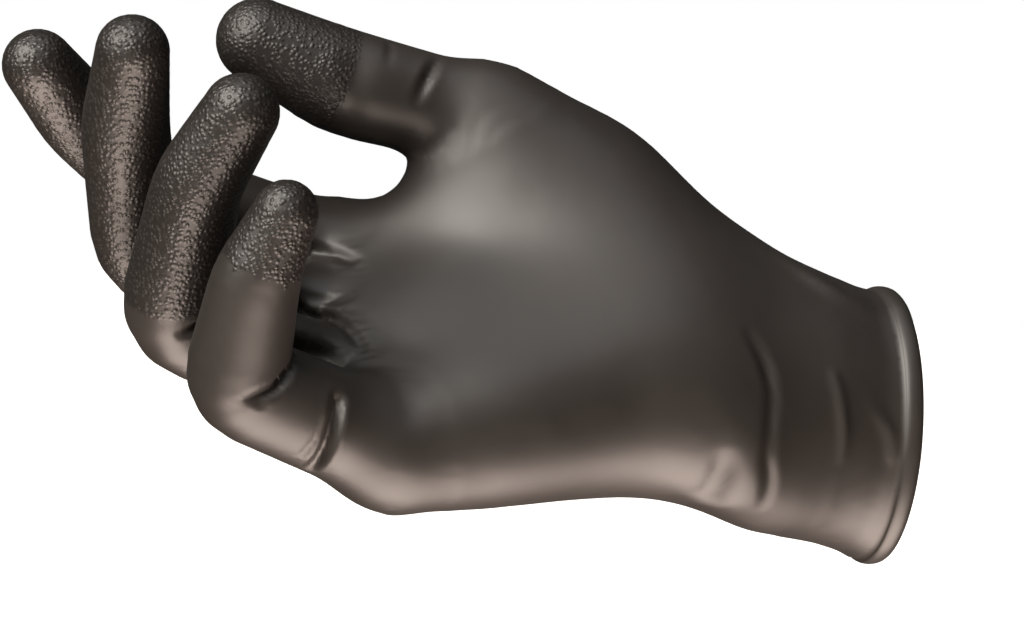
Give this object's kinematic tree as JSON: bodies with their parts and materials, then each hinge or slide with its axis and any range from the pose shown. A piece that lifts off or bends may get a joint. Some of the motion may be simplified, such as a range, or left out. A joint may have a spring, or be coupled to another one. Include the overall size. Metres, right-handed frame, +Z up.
{
  "type": "nitrile exam glove, worn form",
  "caption": "Thin film glove in the curled form of a worn right hand, with textured fingertips, a smooth palm and a rolled cuff bead.",
  "frame": {"origin": "centre of the cuff's mouth, in the plane where the film meets its rolled bead", "axes": "+X out of the cuff, square to its mouth; +Z up as the glove is worn, towards the thumb; the palm looks to -Y"},
  "size_m": [0.195, 0.0863, 0.1116],
  "materials": {
    "film": "satin, fine leather-like grain on the fingers"
  },
  "bodies": {
    "root": {"glove": "film"}
  },
  "joints": []
}
